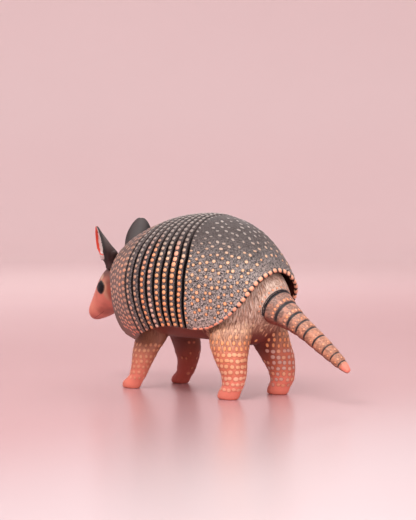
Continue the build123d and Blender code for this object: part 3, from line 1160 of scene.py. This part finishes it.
EAR_SEAT = (6.6, -59.55, 52.6)  # the left ear's foot in mm
EAR_AXIS = (0.208, -0.065, 0.976)
EAR_FACING = (0.89, -0.46, 0)  # the way the ear opens
EAR_RIMS = {  # how far ahead of the axis in mm, how much that lessens per mm, from what height
    "left": (4.20, 0.0396, 4.3),
    "right": (3.60, 0.0604, 5.0),
}


def build_ears(material):
    for side, sign in (("left", 1), ("right", -1)):
        node = f"ear_{side}"
        ear = copy_nodes(node + "_carved", [node])
        resurface(ear, 0.26, 5, 0.5)
        shade(ear, material)
        seat = mirrored(EAR_SEAT, sign) * MM
        axis = mirrored(EAR_AXIS, sign).normalized()
        facing = mirrored(EAR_FACING, sign).normalized()
        facing = (facing - axis * facing.dot(axis)).normalized()
        rearward = facing.cross(axis)
        rearward = rearward if rearward.y > 0 else -rearward
        start, slope, foot = EAR_RIMS[side]
        for vertex in ear.data.vertices:
            offset = vertex.co - seat
            height = offset.dot(axis)
            spread = offset - axis * height
            widest = 3.1 * MM + (height - 2.4 * MM) * 0.5
            if 2.4 * MM < height < 9 * MM and spread.length > widest:
                vertex.co = seat + axis * height + spread * (widest / spread.length)
        ear.data.update()
        colours = []
        for vertex in ear.data.vertices:
            offset = vertex.co - seat
            height, forward, back = (offset.dot(way) / MM for way in (axis, facing, rearward))
            front = start - slope * (height - foot)
            depth = front - forward
            lift = 3.5 * (1 - smooth_step(6, 11, height))
            heart = seat + axis * (height + lift) * MM + facing * (front - 1.4) * MM
            inner = (heart - vertex.co).normalized().dot(vertex.normal) > 0.1 and height > 4.6
            ragged = 0.25 * noise.noise(vertex.co / MM * 0.7)
            outside = graded(srgb(66, 48, 47), srgb(96, 87, 86), 6, 17, height)
            if side == "right":
                outside = graded(srgb(66, 59, 58), srgb(28, 26, 26), 2.0, 5.4, abs(back))
                outside = graded(srgb(60, 50, 48), outside, 3, 9, height)
            else:
                outside = graded(outside, srgb(40, 35, 35), 2.5, 0.6, depth)
            inside = graded(srgb(222, 78, 58), srgb(228, 219, 216), 0.9, 1.2, depth + ragged)
            inside = graded(inside, srgb(150, 38, 32), 3.0, 4.2, depth + ragged)
            colour = inside if inner else outside
            if vertex.normal.dot(facing) > 0.6 and depth < 0.7 and height > 4.6:
                edge = max(smooth_step(-1, 2, back), smooth_step(9, 7, height))
                colour = blend(srgb(222, 78, 58), srgb(214, 200, 196), edge)
            colours.append(colour)
        colour_vertices(ear, "paint", colours)
        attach(ear, node)
        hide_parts(node)


# ---------------------------------------------------------------- tail


def tail_centre(distance):
    """The tail's centre line, distance in metres from the root."""
    along = Vector((0, math.cos(TAIL_DROOP), -math.sin(TAIL_DROOP)))
    down = Vector((0, math.sin(TAIL_DROOP), math.cos(TAIL_DROOP)))
    return TAIL_ROOT + along * distance - down * TAIL_SAG * (distance / TAIL_LENGTH) ** 2


def tail_frame(distance):
    """Centre, direction and the two directions across the tail."""
    way = (tail_centre(distance + 0.2 * MM) - tail_centre(distance)).normalized()
    left = Vector((1, 0, 0))
    return tail_centre(distance), way, left, way.cross(left) * -1


def spoke(left, up, angle):
    return left * math.cos(angle) + up * math.sin(angle)


def build_tail(material, bead_material):
    tree = tree_of(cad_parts["tail"])
    sides = 64
    vertices, zones = [], []

    def ring_of(s, fixed=None):
        centre, _, left, up = tail_frame(s * MM)
        carve, dark = 0.0, 0.0
        wide = 0.64 - 0.0075 * s + 0.06 * (1 - smooth_step(8, 16, s))
        for r in TAIL_RINGS:
            carve = max(carve, 1 - smooth_step(0.15, wide + 0.25, abs(s - r)))
            dark = max(dark, 1 - smooth_step(wide - 0.12, wide + 0.12, abs(s - r)))
        bulge = 0.0
        for a, b in zip(TAIL_RINGS, TAIL_RINGS[1:]):
            if a < s < b:
                bulge = 0.16 * math.sin(math.pi * (s - a) / (b - a))
        for k in range(sides):
            angle = math.tau * k / sides
            radial = spoke(left, up, angle)
            if fixed is None:
                hit, _, _, away = tree.ray_cast(centre + radial * TAIL_CLEAR, -radial, TAIL_CLEAR)
                radius = TAIL_CLEAR - away if hit else 0.4 * MM
                radius += (bulge - 0.28 * carve) * MM
                radius += noise.noise(Vector((s * 0.3, angle, 3))) * 0.06 * MM
            else:
                radius = fixed
            vertices.append(centre + radial * max(radius, 0.05 * MM))
            under = 1 - smooth_step(-0.75, -0.25, math.sin(angle))
            ragged = 0.15 * noise.noise(Vector((s, angle * 4, 0)))
            fade = smooth_step(-0.75, -0.35, math.sin(angle) + ragged)
            zones.append((dark * fade, under, smooth_step(43.2, 45.5, s)))

    # bore for the dowel, then the root face, then the outside down to the tip
    ring_of(TAIL_BORE_DEPTH, fixed=0.3 * MM)
    ring_of(TAIL_BORE_DEPTH - 0.05, fixed=TAIL_BORE_RADIUS)
    ring_of(TAIL_FACE, fixed=TAIL_BORE_RADIUS)
    for k in range(TAIL_STATIONS):
        ring_of(TAIL_FACE + 0.3 * k)
    count = len(vertices) // sides
    faces = quads(0, count, sides)
    tip, bore = len(vertices), len(vertices) + 1
    vertices += [tail_centre(47.8 * MM), tail_centre(TAIL_BORE_DEPTH * MM)]
    zones += [(0, 0, 1), (0, 1, 0)]
    for k in range(sides):
        m = (k + 1) % sides
        faces.append(((count - 1) * sides + k, (count - 1) * sides + m, tip))
        faces.append((m, k, bore))
    tail = make_object("tail_carved", vertices, faces, material, None)
    face_outwards(tail)
    colour_vertices(tail, "zones", zones)
    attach(tail, "tail")
    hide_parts("tail")

    chance = random.Random(5)
    beads = Dots()
    surface = tree_of(tail)
    for number, r in enumerate(TAIL_RINGS[1:]):
        before = r - 1.55
        centre, way, left, up = tail_frame(before * MM)
        count = max(9, round(math.tau * (7.0 - 0.16 * before) / 1.8))
        for k in range(count):
            angle = math.tau * k / count
            if math.sin(angle) < -0.45:
                continue
            radial = spoke(left, up, angle)
            hit = surface.ray_cast(centre + radial * TAIL_CLEAR, -radial, TAIL_CLEAR)[0]
            if hit is None:
                continue
            size = (0.62 * MM, 0.54 * MM) if number < 2 else (0.46 * MM, 0.4 * MM)
            colour = blend(PEACH, ORANGE, chance.random()) * chance.uniform(0.8, 1)
            beads.add(surface, hit, way, size, 0.13 * MM, colour, None, srgb(128, 84, 70), 2, 1.25)
    beads.finish("tail_beads", bead_material, "tail_paint", "tail")


def paint_tail_root(tree, material):
    """The first dark ring's outer half and a row of small beads, on the rump around the tail."""
    chance = random.Random(6)
    marks = Dots()
    centre, way, left, up = tail_frame(0)
    count = 72
    for k in range(count):
        angle = math.tau * k / count
        radial, tangent = spoke(left, up, angle), spoke(left, up, angle + math.pi / 2)
        if math.sin(angle) > -0.55:
            for reach, back in ((7.9, 0.5), (7.5, 0.1), (7.0, 0.0)):
                spot = centre + radial * reach * MM - way * back * MM - tangent * 0.6 * MM
                marks.stroke(tree, spot, tangent, 1.3 * MM, 0.5 * MM, srgb(34, 33, 37))
        if k % 3 == 0 and math.sin(angle) > -0.3:
            spot = centre + radial * 8.4 * MM - way * 1.7 * MM
            colour = blend(PEACH, ORANGE, chance.random()) * chance.uniform(0.75, 0.95)
            size = (0.46 * MM, 0.42 * MM)
            marks.add(tree, spot, tangent, size, 0.12 * MM, colour, None, srgb(128, 84, 70), 2, 1.25)
    marks.finish("tail_root_marks", material, "body_paint")


# ---------------------------------------------------------------- stage, lights and camera


def build_stage():
    """A pale floor that curves up into a brighter wall all round."""
    paint = Paint("floor")
    cloud = paint.noise(paint.scaled(0.004))
    ground = paint.mix(cloud, (186, 148, 150), (191, 153, 155))
    ground = paint.mix(paint.axis("Y", 20, 220), ground, (196, 181, 184))
    wall = paint.mix(cloud, (234, 208, 209), (238, 213, 214))
    ground = paint.mix(paint.axis("Y", -120, -900), ground, wall)
    colour = paint.mix(paint.axis("Z", 0, 160), ground, wall)
    material = paint.done(colour, 0.24)
    profile = [(0.4, 0.0), (1.3, 0.0)]
    for k in range(1, 13):
        angle = math.pi / 2 * k / 12
        profile.append((1.3 + 0.6 * math.sin(angle), 0.6 - 0.6 * math.cos(angle)))
    profile.append((1.9, 1.6))
    sides = 96
    vertices, faces = [(0, 0, 0)], []
    for radius, height in profile:
        for k in range(sides):
            angle = math.tau * k / sides
            vertices.append((radius * math.cos(angle), radius * math.sin(angle), height))
    for k in range(sides):
        faces.append((0, 1 + k, 1 + (k + 1) % sides))
    faces += [face[::-1] for face in quads(1, len(profile), sides)]
    make_object("floor", vertices, faces, material, None)


CAMERA_PLACE = Vector((583.6, 614.65, 94.0))  # in mm
CAMERA_TURN = math.radians(136.63)  # from looking along Y
CAMERA_PITCH = math.radians(2.46)  # downwards
LIGHTS = {  # place in metres, size, power, colour
    "key": ((0.55, 0.15, 0.75), 0.5, 5.6, (1.0, 0.98, 0.96)),
    "fill": ((0.4, 0.78, 0.2), 0.6, 3.4, (1.0, 0.97, 0.96)),
    "back": ((-0.6, -0.5, 0.6), 0.6, 2.0, (1.0, 0.96, 0.95)),
}


def aim(made, ahead):
    """Turns a light or camera to look along a direction."""
    made.rotation_euler = ahead.to_track_quat("-Z", "Y").to_euler()


def build_lights():
    world = bpy.data.worlds.new("studio")
    world.use_nodes = True
    colour, strength = world.node_tree.nodes["Background"].inputs[:2]
    colour.default_value = (1.0, 0.97, 0.97, 1)
    strength.default_value = 1.05
    scene.world = world
    for name, (place, size, power, tint) in LIGHTS.items():
        data = bpy.data.lights.new(name, "AREA")
        data.shape = "DISK"
        data.size, data.energy, data.color = size, power, tint
        made = link(name, data)
        made.location = place
        aim(made, Vector((0, 0, 0.04)) - Vector(place))


def build_camera():
    data = bpy.data.cameras.new("camera")
    data.lens = 135
    data.sensor_width = 36
    data.clip_start = 0.05
    data.clip_end = 20
    made = link("camera", data)
    made.location = CAMERA_PLACE * MM
    turn, pitch = CAMERA_TURN, CAMERA_PITCH
    level = Vector((-math.sin(turn), math.cos(turn), 0))
    aim(made, level * math.cos(pitch) - Vector((0, 0, math.sin(pitch))))
    scene.camera = made


def main():
    build_camera()
    build_lights()
    build_stage()
    drops = attribute_material("paint_drops", 0.42, 0.15)
    shell = Shell()
    shell.build(shell_material())
    paint_bands(shell, drops)
    paint_pelvic_shield(shell, drops)
    paint_front_shield(shell, drops)
    paint_rim(shell, drops)
    body_tree = build_body(fur_material("body_fur", 0.1), fur_material("leg_fur", 0.06))
    paint_fur(body_tree, drops)
    paint_tail_root(body_tree, drops)
    paint_legs(body_tree, drops)
    head_tree = build_head(attribute_material("head_paint", 0.5, 0.0, 0.05))
    paint_face(head_tree, attribute_material("eye_paint", 0.3, 0.0, 0.0, 0.25))
    build_ears(attribute_material("ear_paint", 0.55, 0.0, 0.05))
    build_tail(tail_material(), drops)
    wood = wood_material()
    for name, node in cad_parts.items():
        if "dowel" in name or "pin" in name:
            node.data.materials.clear()
            node.data.materials.append(wood)


main()
